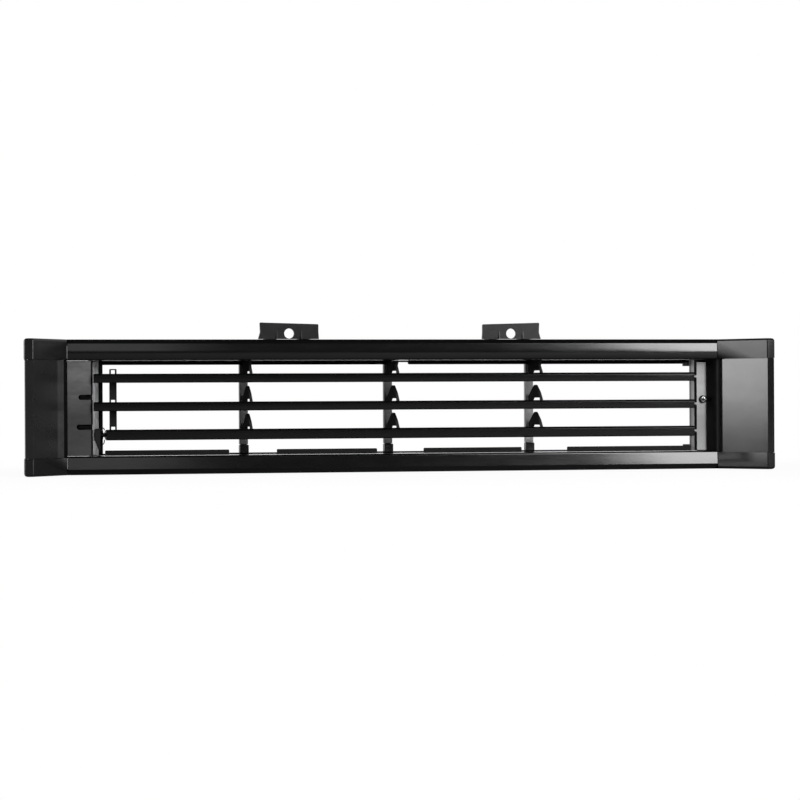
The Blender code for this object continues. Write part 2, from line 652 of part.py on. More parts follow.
def fixing_tab(name, middle, side, material):
    """Angle on the top rail with one hole, two gussets and a flared foot."""
    base = FRAME_HEIGHT + JOINT_GAP
    half = TAB_WIDTH / 2
    flare_top = base + TAB_HEIGHT_OUTER * 0.4
    plate = rounded([
        (-half - TAB_FLARE * 0.3, base, 0.0),
        (half + TAB_FLARE, base, 0.0),
        (half - TAB_FLARE * 0.3, flare_top, 0.003),
        (half, FRAME_HEIGHT + TAB_HEIGHT_OUTER, 0.0008),
        (-half, FRAME_HEIGHT + TAB_HEIGHT_INNER, 0.0008),
        (-half, flare_top, 0.0),
    ])
    shifted = [Vector((middle + side * point.x, point.y)) for point in plate]
    back = TAB_SETBACK + TAB_THICKNESS
    item = piece(name, prism(shifted, "Y", TAB_SETBACK, back), material)
    foot_half = half - TAB_FOOT_INSET
    foot = ((middle - foot_half, middle + foot_half), (back - TAB_THICKNESS / 2, back + TAB_FOOT_DEPTH),
            (base, base + TAB_FOOT_THICKNESS))
    shape_with(item, boxes([foot]), "UNION")
    gusset_front = BAND_SETBACK + JOINT_GAP
    for offset in (-TAB_GUSSET_OFFSET, TAB_GUSSET_OFFSET):
        gusset = [
            Vector((gusset_front, base)),
            Vector((TAB_SETBACK + TAB_THICKNESS / 2, base)),
            Vector((TAB_SETBACK + TAB_THICKNESS / 2, base + TAB_GUSSET_HEIGHT)),
            Vector((TAB_SETBACK - JOINT_GAP, base + TAB_GUSSET_HEIGHT)),
        ]
        low = middle + offset - TAB_GUSSET_THICKNESS / 2
        shape_with(item, prism(gusset, "X", low, low + TAB_GUSSET_THICKNESS), "UNION")
    hole = circle((middle, FRAME_HEIGHT + TAB_HOLE_HEIGHT), TAB_HOLE_RADIUS, 28)
    shape_with(item, prism(hole, "Y", TAB_SETBACK - WALL, back + WALL), "DIFFERENCE")
    cut_foot = ((middle - TAB_FOOT_NOTCH, middle + TAB_FOOT_NOTCH), (back, back + TAB_FOOT_DEPTH * 2),
                (base - WALL, base + WALL * 2))
    shape_with(item, boxes([cut_foot]), "DIFFERENCE")
    rivet_y = back + TAB_FOOT_DEPTH / 2
    for offset in (-RIVET_OFFSET, RIVET_OFFSET):
        hole = circle((middle + offset, rivet_y), RIVET_SHANK_RADIUS + JOINT_GAP, 12)
        shape_with(item, prism(hole, "Z", base - WALL, base + WALL * 2), "DIFFERENCE")
    return item


def drill_for_rivets(top_rail):
    """Holes in the top rail under the tabs' feet."""
    for middle in TAB_X.values():
        for offset in (-RIVET_OFFSET, RIVET_OFFSET):
            centre = (middle + offset, TAB_SETBACK + TAB_THICKNESS + TAB_FOOT_DEPTH / 2)
            hole = prism(circle(centre, RIVET_SHANK_RADIUS + JOINT_GAP, 12), "Z", FRAME_HEIGHT - WALL * 2,
                         FRAME_HEIGHT + WALL)
            shape_with(top_rail, hole, "DIFFERENCE")


def turned(profile, steps=16):
    """Solid of revolution about Z from (radius, z) points, the first and last on the axis."""
    mesh = bmesh.new()
    verts = [mesh.verts.new((radius, 0.0, z)) for radius, z in profile]
    edges = [mesh.edges.new(pair) for pair in zip(verts, verts[1:])]
    bmesh.ops.spin(mesh, geom=verts + edges, cent=(0.0, 0.0, 0.0), axis=(0.0, 0.0, 1.0),
                   angle=math.tau, steps=steps)
    bmesh.ops.remove_doubles(mesh, verts=mesh.verts, dist=1e-6)
    bmesh.ops.recalc_face_normals(mesh, faces=mesh.faces)
    if mesh.calc_volume(signed=True) < 0.0:
        bmesh.ops.reverse_faces(mesh, faces=mesh.faces)
    return mesh


def rivet(name, x, material):
    """Blind rivet through a tab's foot and the top rail."""
    foot_top = TAB_FOOT_THICKNESS + JOINT_GAP * 2
    tail_top = -WALL - JOINT_GAP
    profile = [
        (0.0, foot_top + RIVET_HEAD_HEIGHT),
        (RIVET_HEAD_RADIUS * 0.6, foot_top + RIVET_HEAD_HEIGHT * 0.85),
        (RIVET_HEAD_RADIUS, foot_top),
        (RIVET_SHANK_RADIUS, foot_top),
        (RIVET_SHANK_RADIUS, tail_top),
        (RIVET_HEAD_RADIUS * 0.8, tail_top - RIVET_HEAD_HEIGHT * 0.6),
        (0.0, tail_top - RIVET_HEAD_HEIGHT * 1.4),
    ]
    rivet_y = TAB_SETBACK + TAB_THICKNESS + TAB_FOOT_DEPTH / 2
    return piece(name, turned(profile), material, (x, rivet_y, FRAME_HEIGHT))


# Blades

def blade_section(thickness):
    """Blade section as (y, z) about its axis."""
    half = thickness / 2
    tail = BLADE_TAIL_THICKNESS / 2
    return rounded([
        (-BLADE_NOSE, -half, 0.0008),
        (-BLADE_NOSE, half - NOSE_CHAMFER_HEIGHT, 0.0003),
        (NOSE_CHAMFER_DEPTH - BLADE_NOSE, half, 0.0006),
        (0.0, half - 0.0005, 0.010),
        (BLADE_TAIL, tail, 0.0006),
        (BLADE_TAIL, -tail, 0.0006),
        (0.0, 0.0005 - half, 0.010),
    ], 2)


def link_hook():
    """Section of the blade's rear hook, (y, z) about the link pin, reaching forward to the nose."""
    inner = LINK_PIN_RADIUS + RUN_GAP
    outer = inner + HOOK_WALL
    join = math.asin(LINK_ARM_HALF / outer)
    root = NOSE_DEPTH - BLADE_NOSE - LINK_RADIUS - JOURNAL_OVERLAP
    ring = (
        arc((0.0, 0.0), outer, math.pi + join, math.tau - HOOK_MOUTH_ANGLE, 5)
        + arc((0.0, 0.0), inner, math.tau - HOOK_MOUTH_ANGLE, HOOK_MOUTH_ANGLE, 12)
        + arc((0.0, 0.0), outer, HOOK_MOUTH_ANGLE, math.pi - join, 5)
    )
    return [Vector((root, LINK_ARM_HALF)), Vector((root, -LINK_ARM_HALF))] + ring


def blade(level, material):
    """One blade, drawn about its own axis."""
    lower = level == "lower"
    left = LEFT_WALL_RIGHT + NOTCH_CLEARANCE if lower else BLADE_LEFT
    section = blade_section(THICKNESS[level])
    item = piece(level + "_blade", prism(section, "X", left, BLADE_RIGHT), material,
                 (0.0, AXIS_SETBACK, AXIS_Z[level]))
    cut_y = (NOSE_DEPTH - BLADE_NOSE, BLADE_TAIL + WALL)
    cut_z = (-LOWER_BLADE_THICKNESS, LOWER_BLADE_THICKNESS)
    arm_half = ARM_THICKNESS / 2 + NOTCH_CLEARANCE
    link_half = LINK_WIDTH / 2 + NOTCH_CLEARANCE
    notches = [((x - arm_half, x + arm_half), cut_y, cut_z) for x in MULLION_X.values()]
    notches.append(((LINK_X - link_half, LINK_X + link_half), cut_y, cut_z))
    wall_notch_end = LEFT_WALL_RIGHT + NOTCH_CLEARANCE
    if not lower:
        notches.append(((left - WALL, wall_notch_end), cut_y, cut_z))
    shape_with(item, boxes(notches), "DIFFERENCE")
    journals = bmesh.new()
    journal = circle((0.0, 0.0), JOURNAL_RADIUS, 16)
    for x in MULLION_X.values():
        reach = arm_half + JOURNAL_OVERLAP
        add_prism(journals, journal, "X", x - reach, x + reach)
    outer_end = LEFT_WALL_X - LEVER_THICKNESS - JOINT_GAP * 2 if lower else LEFT_WALL_X - WALL / 2
    add_prism(journals, journal, "X", outer_end, wall_notch_end + JOURNAL_OVERLAP)
    shape_with(item, journals, "UNION")
    hook = [Vector((point.x + LINK_RADIUS, point.y)) for point in link_hook()]
    hook_x = (LINK_X - LINK_ARM_THICKNESS / 2, LINK_X + LINK_ARM_THICKNESS / 2)
    shape_with(item, prism(hook, "X", *hook_x), "UNION")
    bore = circle((0.0, 0.0), PIN_RADIUS + JOINT_GAP, 16)
    shape_with(item, prism(bore, "X", BLADE_RIGHT - PIN_INSET, BLADE_RIGHT + WALL), "DIFFERENCE")
    return item


def blade_pin(level, material):
    """Pivot pin in a blade's right end."""
    ends = (BLADE_RIGHT - PIN_INSET + JOINT_GAP, BLADE_RIGHT + PIN_OUTREACH)
    mesh = prism(circle((0.0, 0.0), PIN_RADIUS, 16), "X", *ends)
    return piece(level + "_blade_pin", mesh, material, (0.0, AXIS_SETBACK, AXIS_Z[level]))


def thumb_lever(material):
    """Hub on the lower blade's left journal with a curved thumb tab in front."""
    right = LEFT_WALL_X - JOINT_GAP
    left = right - LEVER_THICKNESS
    hub = prism(circle((0.0, 0.0), LEVER_HUB_RADIUS, 24), "X", left, right)
    item = piece("thumb_lever", hub, material, (0.0, AXIS_SETBACK, AXIS_Z["lower"]))
    tab = rounded([
        (left, THUMB_TOP, 0.0012),
        (left, -THUMB_HEEL, 0.0040),
        (right - LEVER_THICKNESS * THUMB_TIP_SHARE, -THUMB_DROP, 0.0008),
        (right, -THUMB_DROP, 0.0004),
        (right, THUMB_TOP, 0.0006),
    ], 4)
    shape_with(item, prism(tab, "Y", -THUMB_REACH, THUMB_SINK - LEVER_HUB_RADIUS), "UNION")
    bore = circle((0.0, 0.0), JOURNAL_RADIUS + JOINT_GAP, 16)
    shape_with(item, prism(bore, "X", left - WALL, right + WALL), "DIFFERENCE")
    return item


def link_bar(material):
    """Flat bar with a window and a cross pin at each blade, drawn about its lowest pin."""
    half = LINK_WIDTH / 2
    window_half = half - LINK_RAIL
    top = BLADE_PITCH * 2 + LINK_TOP
    outline = rounded([
        (-half, -LINK_BOTTOM, 0.0006),
        (half, -LINK_BOTTOM, 0.0006),
        (half, top, 0.0006),
        (-half, top, 0.0006),
    ], 2)
    mesh = prism(outline, "Y", -LINK_THICKNESS / 2, LINK_THICKNESS / 2)
    item = piece("link_bar", mesh, material, (LINK_X, LINK_Y, AXIS_Z["lower"]))
    windows = []
    pins = bmesh.new()
    for name, axis_z in AXIS_Z.items():
        level = axis_z - AXIS_Z["lower"]
        window_z = (level - LINK_BOTTOM + LINK_RAIL, level + LINK_WINDOW_TOP[name])
        windows.append(((-window_half, window_half), (-LINK_THICKNESS, LINK_THICKNESS), window_z))
        add_prism(pins, circle((0.0, level), LINK_PIN_RADIUS, 12), "X", -half + LINK_RAIL / 2,
                  half - LINK_RAIL / 2)
    shape_with(item, boxes(windows), "DIFFERENCE")
    shape_with(item, pins, "UNION")
    return item


# Mullions

def arm_section():
    """Arm from a mullion forward to the open eye round a blade's journal, (y, z) about the axis."""
    inner = JOURNAL_RADIUS + RUN_GAP
    outer = inner + ARM_EYE_WALL
    reach = MULLION_FRONT - AXIS_SETBACK
    root = reach + MULLION_DEPTH / 4
    peak_y = reach * ARM_PEAK_SHARE
    low_join = math.radians(18)
    top_join = math.radians(80)
    neck = outer * math.cos(low_join)
    lead = rounded([
        (root, -ARM_ROOT_DROP, 0.0),
        (reach * ARM_BEND_SHARE, ARM_UNDERSIDE, 0.004),
        (neck + ARM_NECK, ARM_UNDERSIDE, 0.0016),
        (neck, outer * math.sin(low_join), 0.0),
        (0.0, outer, 0.0),
        (reach * ARM_SHOULDER_SHARE, ARM_PEAK * ARM_SHOULDER_HEIGHT, 0.016),
        (peak_y, ARM_PEAK * ARM_PEAK_EXCESS, 0.007),
        (root, ARM_PEAK * ARM_ROOT_HEIGHT, 0.0),
    ], 4)
    split = min(range(len(lead)), key=lambda index: (lead[index] - Vector((0.0, outer))).length)
    mouth_low = math.pi + EYE_MOUTH_ANGLE - math.tau
    mouth_high = math.pi - EYE_MOUTH_ANGLE
    eye = (
        arc((0.0, 0.0), outer, low_join, mouth_low, 8)[1:]
        + arc((0.0, 0.0), inner, mouth_low, mouth_high, 14)
        + arc((0.0, 0.0), outer, mouth_high, top_join, 4)
    )
    return lead[:split] + eye + lead[split + 1:]


def mullion(name, x, material):
    """Post with a head web and three arms, all one moulding."""
    base = OPENING_BASE + JOINT_GAP * 2 + FOOT_HEIGHT
    top = OPENING_TOP - JOINT_GAP
    half = MULLION_WIDTH / 2
    arm_half = ARM_THICKNESS / 2
    back = MULLION_FRONT + MULLION_DEPTH
    post = rounded([
        (-half, MULLION_FRONT, 0.0008),
        (half, MULLION_FRONT, 0.0008),
        (half, back, 0.0),
        (-half, back, 0.0),
    ], 2)
    item = piece(name, prism(post, "Z", base, top), material, (x, 0.0, 0.0))
    for level in AXIS_Z.values():
        arm = [Vector((point.x + AXIS_SETBACK, point.y + level)) for point in arm_section()]
        shape_with(item, prism(arm, "X", -arm_half, arm_half), "UNION")
    web_front = AXIS_SETBACK + JOURNAL_RADIUS * 2
    root_top = AXIS_Z["upper"] + ARM_PEAK * ARM_ROOT_HEIGHT - JOINT_GAP
    web = [
        Vector((web_front, top)),
        Vector((MULLION_FRONT + MULLION_DEPTH / 4, top)),
        Vector((MULLION_FRONT + MULLION_DEPTH / 4, root_top)),
        Vector((web_front + HEAD_WEB_HEIGHT, top - HEAD_WEB_HEIGHT)),
    ]
    shape_with(item, prism(web, "X", -arm_half, arm_half), "UNION")
    above = ((-half * 2, half * 2), (0.0, FRAME_DEPTH), (top, FRAME_HEIGHT * 1.2))
    shape_with(item, boxes([above]), "DIFFERENCE")
    tenon_z = (base - TENON_LENGTH, base + TENON_SHOULDER)
    shape_with(item, boxes([(*tenon_limits(0.0), tenon_z)]), "UNION")
    return item


def tenon_limits(clearance):
    """Limits in x and y of a mullion's tenon, or of its socket with a clearance."""
    half = MULLION_WIDTH / 2 - TENON_SHOULDER + clearance
    front = MULLION_FRONT + TENON_SHOULDER - clearance
    back = MULLION_FRONT + MULLION_DEPTH - TENON_SHOULDER + clearance
    return (-half, half), (front, back)


def mullion_foot(name, x, material):
    """Socket block that stands on the bottom rail under a mullion."""
    half = FOOT_WIDTH / 2
    base = OPENING_BASE + JOINT_GAP
    back = MULLION_FRONT + MULLION_DEPTH
    top = base + FOOT_HEIGHT
    block = boxes([((-half, half), (MULLION_FRONT - FOOT_STEP, back), (base, top))])
    item = piece(name, block, material, (x, 0.0, 0.0))
    soften(item, 0.0005)
    socket_z = (top - TENON_LENGTH - JOINT_GAP, top + WALL)
    shape_with(item, boxes([(*tenon_limits(JOINT_GAP), socket_z)]), "DIFFERENCE")
    return item


# End walls, cover plate and bracket

def snap_slot(front, centre_y, centre_z, radius, mouth_half):
    """Round bearing seat with a narrower mouth that opens to the front, (y, z)."""
    angle = math.asin(mouth_half / radius)
    seat = arc((centre_y, centre_z), radius, angle - math.pi, math.pi - angle, 12)
    return [Vector((front, centre_z - mouth_half))] + seat + [Vector((front, centre_z + mouth_half))]


def left_bearing_wall(material):
    """Plate with three eyes that snap round the blades' journals."""
    low, high = OPENING_BASE + JOINT_GAP, OPENING_TOP - JOINT_GAP
    front = AXIS_SETBACK + WALL_SETBACK
    rear = FRAME_DEPTH - LEFT_WALL_REAR_GAP
    plan = [
        Vector((LEFT_WALL_X, front)),
        Vector((LEFT_WALL_RIGHT, front)),
        Vector((LEFT_WALL_RIGHT, rear)),
        Vector((LEFT_WALL_X - LEFT_WALL_FLANGE, rear)),
        Vector((LEFT_WALL_X - LEFT_WALL_FLANGE, rear - FLANGE_WALL)),
        Vector((LEFT_WALL_X, rear - FLANGE_WALL)),
    ]
    item = piece("left_bearing_wall", prism(plan, "Z", low, high), material)
    seat = JOURNAL_RADIUS + RUN_GAP
    eye_radius = seat + ARM_EYE_WALL
    eyes = bmesh.new()
    slots = bmesh.new()
    for level in AXIS_Z.values():
        add_prism(eyes, circle((AXIS_SETBACK, level), eye_radius, 24), "X", LEFT_WALL_X, LEFT_WALL_RIGHT)
        slot = snap_slot(AXIS_SETBACK - eye_radius - WALL, AXIS_SETBACK, level, seat,
                         JOURNAL_RADIUS * SNAP_SHARE)
        add_prism(slots, slot, "X", LEFT_WALL_X - WALL, LEFT_WALL_RIGHT + WALL)
    shape_with(item, eyes, "UNION")
    shape_with(item, slots, "DIFFERENCE")
    for way, rise in ((1, SNAP_LIP_RISE_TOP), (-1, SNAP_LIP_RISE_BASE)):
        lip = [Vector((LEFT_WALL_RIGHT + point.x, AXIS_Z["lower"] + way * point.y))
               for point in snap_lip(rise)]
        shape_with(item, prism(lip, "Y", front, front + SNAP_LIP_DEPTH), "UNION")
    return item


def snap_lip(rise):
    """Quarter-round lip from the wall's face towards the blade, (x, height off the axis)."""
    reach = NOTCH_CLEARANCE - JOINT_GAP
    quarter = arc((0.0, 0.0), 1.0, 0.0, math.pi / 2, 5)
    outer = [Vector((reach * point.x, SNAP_LIP_TIP + rise * point.y)) for point in quarter]
    inner_reach = reach - SNAP_LIP_THICKNESS
    inner_rise = rise - SNAP_LIP_THICKNESS
    inner = [Vector((inner_reach * point.x, SNAP_LIP_TIP + inner_rise * point.y)) for point in quarter]
    root = Vector((-FLANGE_WALL / 2, SNAP_LIP_TIP + rise))
    return outer + [root, root - Vector((0.0, SNAP_LIP_THICKNESS))] + inner[::-1]


def cover_plate(material):
    """Front plate over the link chamber, its right edge turned back, with two open slots."""
    left = JOINT_GAP - CAP_X
    right = COVER_RIGHT
    low, high = OPENING_BASE + JOINT_GAP, OPENING_TOP - JOINT_GAP
    back = COVER_SETBACK + WALL
    outline = rounded([
        (left, COVER_SETBACK, 0.0),
        (right, COVER_SETBACK, 0.0010),
        (right, COVER_SETBACK + COVER_RETURN, 0.0),
        (right - FLANGE_WALL, COVER_SETBACK + COVER_RETURN, 0.0),
        (right - FLANGE_WALL, back, 0.0),
        (left, back, 0.0),
    ])
    item = piece("left_cover_plate", prism(outline, "Z", low, high), material)
    half = COVER_SLOT_HALF
    slots = bmesh.new()
    for slot_z, length in ((UPPER_SLOT_Z, UPPER_SLOT_LENGTH), (LOWER_SLOT_Z, LOWER_SLOT_LENGTH)):
        end = right - length + half
        outer = right + WALL
        slot = [Vector((outer, slot_z - half)), Vector((outer, slot_z + half))]
        slot += arc((end, slot_z), half, math.pi / 2, math.pi * 3 / 2, 8)
        add_prism(slots, slot, "Y", 0.0, back + SLOT_RETURN_CUT)
    shape_with(item, slots, "DIFFERENCE")
    return item


def right_bracket(material):
    """Bearing wall with snap slots, a screw strip behind it and two clips."""
    low, high = OPENING_BASE + JOINT_GAP, OPENING_TOP - JOINT_GAP
    back = RIGHT_STRIP_Y + WALL
    curl_back = RIGHT_STRIP_Y + STRIP_CURL
    strip_low, strip_high = OPENING_BASE + STRIP_BASE_GAP, OPENING_TOP - STRIP_TOP_GAP
    wall = rectangle((RIGHT_WALL_X, RIGHT_WALL_FRONT), (STRIP_X, back))
    item = piece("right_bearing_bracket", prism(wall, "Z", low, high), material)
    strip = rounded([
        (STRIP_X - WALL / 2, RIGHT_STRIP_Y, 0.0),
        (STRIP_RIGHT, RIGHT_STRIP_Y, STRIP_EDGE_ROUND),
        (STRIP_RIGHT, curl_back, 0.0),
        (STRIP_RIGHT - STRIP_SHEET, curl_back, 0.0),
        (STRIP_RIGHT - STRIP_SHEET, RIGHT_STRIP_Y + STRIP_SHEET, STRIP_EDGE_ROUND - STRIP_SHEET),
        (STRIP_X - WALL / 2, RIGHT_STRIP_Y + STRIP_SHEET, 0.0),
    ])
    shape_with(item, prism(strip, "Z", strip_low, strip_high), "UNION")
    hook_tip = STRIP_X - CLIP_HOOK - WALL
    for middle in (low + CLIP_INSET, high - CLIP_INSET):
        arm_y = (back - WALL / 2, back + CLIP_LENGTH)
        hook = [
            Vector((STRIP_X + CLIP_THICKNESS, arm_y[0])),
            Vector((STRIP_X + CLIP_THICKNESS, arm_y[1])),
            Vector((hook_tip, arm_y[1] - CLIP_THICKNESS / 2)),
            Vector((hook_tip, arm_y[1] - CLIP_THICKNESS)),
            Vector((STRIP_X, arm_y[1] - CLIP_THICKNESS)),
            Vector((STRIP_X, arm_y[0])),
        ]
        shape_with(item, prism(hook, "Z", middle - CLIP_HEIGHT / 2, middle + CLIP_HEIGHT / 2), "UNION")
    slots = bmesh.new()
    for level in AXIS_Z.values():
        slot = snap_slot(RIGHT_WALL_FRONT - WALL, AXIS_SETBACK, level, PIN_RADIUS + RUN_GAP,
                         PIN_RADIUS * SNAP_SHARE)
        add_prism(slots, slot, "X", RIGHT_WALL_X - WALL, STRIP_X + PIN_OUTREACH)
    shape_with(item, slots, "DIFFERENCE")
    grooves = []
    for share in (0.82, 0.94):
        middle = RIGHT_STRIP_Y * share
        grooves.append(((RIGHT_WALL_X - WALL, RIGHT_WALL_X + GROOVE_DEPTH),
                        (middle - GROOVE_WIDTH / 2, middle + GROOVE_WIDTH / 2), (low - WALL, high + WALL)))
    shape_with(item, boxes(grooves), "DIFFERENCE")
    hole = circle((SCREW_X, SCREW_Z), SCREW_SHANK_RADIUS + JOINT_GAP, 16)
    shape_with(item, prism(hole, "Y", RIGHT_STRIP_Y - WALL, back + WALL * 2), "DIFFERENCE")
    return item


def bracket_screw(material):
    """Pan head screw with a cross recess, its axis along Y."""
    profile = [
        (0.0, SCREW_HEAD_HEIGHT),
        (SCREW_HEAD_RADIUS * 0.70, SCREW_HEAD_HEIGHT * 0.92),
        (SCREW_HEAD_RADIUS * 0.95, SCREW_HEAD_HEIGHT * 0.55),
        (SCREW_HEAD_RADIUS, 0.0),
        (SCREW_SHANK_RADIUS, 0.0),
        (SCREW_SHANK_RADIUS, -SCREW_LENGTH),
        (0.0, -SCREW_LENGTH - SCREW_SHANK_RADIUS),
    ]
    item = piece("bracket_screw", turned(profile, 24), material,
                 (SCREW_X, RIGHT_STRIP_Y - JOINT_GAP, SCREW_Z))
    item.rotation_euler = (math.pi / 2, 0.0, 0.0)
    recess_z = (SCREW_HEAD_HEIGHT - RECESS_DEPTH, SCREW_HEAD_HEIGHT + WALL)
    long_half, wide_half = RECESS_LENGTH / 2, RECESS_WIDTH / 2
    quarter = [(long_half, wide_half), (wide_half, wide_half), (wide_half, long_half)]
    cross = []
    for a, b in quarter:
        cross.append(Vector((a, b)))
    for quarter_turn in range(3):
        for point in cross[-3:]:
            cross.append(Vector((-point.y, point.x)))
    shape_with(item, prism(cross, "Z", *recess_z), "DIFFERENCE")
    item.modifiers[-1].object.rotation_euler = item.rotation_euler
    return item


# Seal strips

def lower_strips(material):
    """Four strips along the bottom rail's front, with gaps at the mullions."""
    base = OPENING_BASE + JOINT_GAP
    limits = [LEFT_WALL_RIGHT + WALL / 2]
    for x in MULLION_X.values():
        limits += [x - STRIP_NOTCH_HALF, x + STRIP_NOTCH_HALF]
    limits.append(RIGHT_WALL_X - WALL * 1.5)
    strips = []
    for index in range(4):
        start, end = limits[index * 2], limits[index * 2 + 1]
        outline = rounded([
            (start, base, 0.0),
            (end, base, 0.0),
            (end, base + LOWER_STRIP_HEIGHT, 0.0008),
            (start, base + LOWER_STRIP_HEIGHT, 0.0008),
        ])
        mesh = prism(outline, "Y", LOWER_STRIP_Y, LOWER_STRIP_Y + STRIP_THICKNESS)
        strips.append(piece("lower_seal_strip_%d" % (index + 1), mesh, material))
    return strips


def upper_strips(material):
    """Four strips under the top rail's rear, between the mullions."""
    top = OPENING_TOP - JOINT_GAP
    front = MULLION_FRONT - UPPER_STRIP_STEP
    clear = ARM_THICKNESS / 2 + JOINT_GAP
    spans = [
        (LEFT_WALL_RIGHT + JOINT_GAP, MULLION_X["left"] - clear),
        (MULLION_X["left"] + clear, MULLION_X["centre"] - clear),
        (MULLION_X["centre"] + CENTRE_GAP, MULLION_X["right"] - clear),
        (MULLION_X["right"] + clear, HALF_RAIL - JOINT_GAP),
    ]
    strips = []
    for index, (start, end) in enumerate(spans):
        corner = UPPER_STRIP_HEIGHT * 0.6 if index == 2 else 0.0
        outline = rounded([
            (start, top, 0.0),
            (start, top - UPPER_STRIP_HEIGHT, corner),
            (end, top - UPPER_STRIP_HEIGHT, 0.0),
            (end, top, 0.0),
        ])
        mesh = prism(outline, "Y", front, front + STRIP_THICKNESS)
        strips.append(piece("upper_seal_strip_%d" % (index + 1), mesh, material))
    return strips


# Assembly

for old in list(bpy.data.objects):
    bpy.data.objects.remove(old, do_unlink=True)

FRONT_PLANE = bpy.data.objects.new("front_plane", None)
bpy.context.collection.objects.link(FRONT_PLANE)
FRONT_PLANE.location = (0.0, (WING_REACH - FRAME_DEPTH) / 2, 0.0)

GLOSS_BLACK = plastic("gloss_black", (0.012, 0.012, 0.013), 0.24)
SATIN_BLACK = plastic("satin_black", (0.016, 0.016, 0.017), 0.42)
BLADE_BLACK = plastic("blade_black", (0.010, 0.010, 0.011), 0.30)
BRACKET_GREY = plastic("bracket_grey", (0.070, 0.070, 0.072), 0.38)
SEAL_BLACK = plastic("seal_black", (0.014, 0.014, 0.014), 0.70)
PIN_STEEL = plastic("pin_steel", (0.55, 0.55, 0.56), 0.32, 1.0)
SCREW_STEEL = plastic("screw_steel", (0.12, 0.12, 0.13), 0.35, 1.0)

TOP_RAIL = rail("top_rail", TOP_RAIL_HEIGHT, TOP_BAND, True, GLOSS_BLACK)
drill_for_rivets(TOP_RAIL)
rail("bottom_rail", BASE_RAIL_HEIGHT, BASE_BAND, False, GLOSS_BLACK)
for side_name, side_sign in (("left", -1), ("right", 1)):
    corner_cap("upper_%s_corner_cap" % side_name, side_sign, True, GLOSS_BLACK)
    corner_cap("lower_%s_corner_cap" % side_name, side_sign, False, GLOSS_BLACK)
    fixing_tab("%s_fixing_tab" % side_name, TAB_X[side_name], side_sign, SATIN_BLACK)
    for rivet_name, rivet_side in (("a", -1), ("b", 1)):
        rivet("%s_tab_rivet_%s" % (side_name, rivet_name), TAB_X[side_name] + rivet_side * RIVET_OFFSET,
              SCREW_STEEL)
left_panel_seats(side_panel("left_side_panel", -1, GLOSS_BLACK))
right_panel_boss(side_panel("right_side_panel", 1, GLOSS_BLACK))
for place_name, place_x in MULLION_X.items():
    mullion("%s_mullion" % place_name, place_x, SATIN_BLACK)
    mullion_foot("%s_mullion_foot" % place_name, place_x, SATIN_BLACK)
left_bearing_wall(BRACKET_GREY)
cover_plate(SATIN_BLACK)
right_bracket(BRACKET_GREY)
bracket_screw(SCREW_STEEL)
lower_strips(SEAL_BLACK)
upper_strips(SEAL_BLACK)
for blade_level in AXIS_Z:
    blade(blade_level, BLADE_BLACK)
    blade_pin(blade_level, PIN_STEEL)
thumb_lever(SATIN_BLACK)
link_bar(SATIN_BLACK)
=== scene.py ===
"""Looks of the ventilation grille: camera, soft studio light and moulded black plastic."""
import json
import math

import bpy
from mathutils import Matrix, Vector

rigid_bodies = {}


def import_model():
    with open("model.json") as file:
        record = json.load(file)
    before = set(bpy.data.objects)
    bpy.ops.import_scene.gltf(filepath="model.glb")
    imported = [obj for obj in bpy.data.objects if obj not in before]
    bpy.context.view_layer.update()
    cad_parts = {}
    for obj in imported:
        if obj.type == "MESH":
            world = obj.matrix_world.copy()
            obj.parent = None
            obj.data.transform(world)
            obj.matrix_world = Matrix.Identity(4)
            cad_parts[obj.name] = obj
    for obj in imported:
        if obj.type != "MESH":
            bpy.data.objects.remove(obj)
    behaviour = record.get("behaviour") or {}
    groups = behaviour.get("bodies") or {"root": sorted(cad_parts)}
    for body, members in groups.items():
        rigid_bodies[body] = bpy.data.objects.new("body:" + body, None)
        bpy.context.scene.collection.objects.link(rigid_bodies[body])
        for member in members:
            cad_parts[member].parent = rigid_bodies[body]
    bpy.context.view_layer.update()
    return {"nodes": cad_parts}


for old in list(bpy.data.objects):
    bpy.data.objects.remove(old, do_unlink=True)

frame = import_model()
NODES = frame["nodes"]

# Places on the object, in metres. A pair gives where a change of finish starts and ends.
FRONT_Y = -0.00865                      # front plane of the rails
INNER_WALL_X = (0.2666, 0.2670)         # side panels: inner wall to splayed face, from the middle
EDGE_HIGHLIGHT_X = (-0.2730, -0.2722)    # left panel: painted highlight, from the splayed face to its inner edge
POST_FRONT_Y = (0.0396, 0.0400)         # mullions: arms to post
PAINTED_SHEEN_Z = (0.045, 0.083)                 # cover plate: the painted sheen grows upwards
# cover plate: painted shade on the right edge, from face to edge
PLATE_EDGE_SHADE_X = (-0.2458, -0.2454)       # cover plate: face to right edge
LEFT_WALL_SHADE_Y = (0.0060, 0.0130)          # left wall: painted shade on the front edge, fading to grey
RIGHT_BRACKET_SHADE_Y = (-0.0072, -0.0067)    # right bracket: painted shade on the front edge, fading to grey
SCREW_X, SCREW_Z = 0.2555, 0.0566       # middle of the bracket's screw
SCREW_RIM = (0.0022, 0.0026)            # radius: head to rim
CROSS_HALF_WIDTH = (0.00035, 0.0006)    # painted shade in the recess, to head
CROSS_REACH = (0.0014, 0.0018)          # radius: painted shade in the recess, to head

# Heights of the surface texture, in metres
POLISHED_GRAIN = 0.000003
SATIN_GRAIN = 0.00002
FLOW_WAVE = 0.0004
FINE_SCALE = 2600.0                     # grains for each metre

# Slope that turns the shading of the splayed faces by about 7 degrees
WING_BOW = 0.145


def rgba(colour, factor=1.0):
    """Colour for a socket, multiplied by a factor."""
    return tuple(channel * factor for channel in colour) + (1.0,)


def grey(shade, blue=1.0):
    """Grey whose blue may be a little stronger."""
    return (shade, shade, shade * blue)


